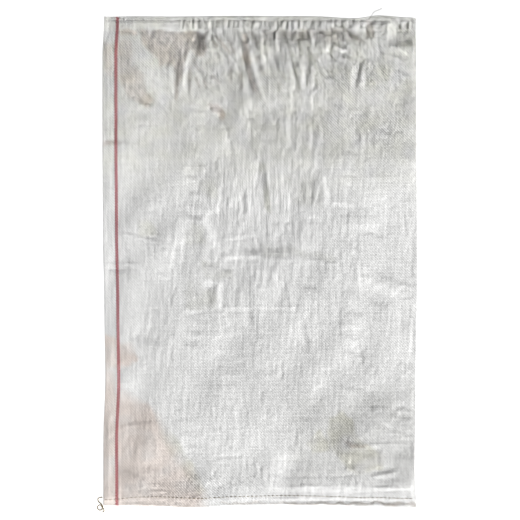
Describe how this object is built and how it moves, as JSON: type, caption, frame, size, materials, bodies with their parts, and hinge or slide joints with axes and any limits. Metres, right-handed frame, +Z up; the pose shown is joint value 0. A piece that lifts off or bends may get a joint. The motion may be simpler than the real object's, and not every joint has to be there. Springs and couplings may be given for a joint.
{
  "type": "woven polypropylene sack",
  "caption": "Empty flat tubular sack of white woven tape cloth with a hemmed open mouth, a turned and sewn bottom and a pair of red marker tapes.",
  "frame": {"origin": "on the floor under the middle of the sack as it lies flat, its loose threads left out", "axes": "+X across the sack, away from the red tapes; +Y along the sack to its open mouth; +Z up, out of the front face that has the red tapes"},
  "size_m": [0.5899, 0.9305, 0.0146],
  "materials": {
    "tape_cloth": "white woven film tape, satin sheen",
    "red_tape": "dark red film tape, satin sheen",
    "hem_thread": "off-white spun sewing thread",
    "seam_thread": "olive brown spun sewing thread"
  },
  "bodies": {
    "root": {"woven_tube": "tape_cloth", "marker_tape_left": "red_tape", "marker_tape_right": "red_tape", "mouth_hem_thread": "hem_thread", "mouth_thread_tail": "hem_thread", "bottom_seam_thread": "seam_thread", "bottom_chain_tail": "seam_thread"}
  },
  "joints": []
}
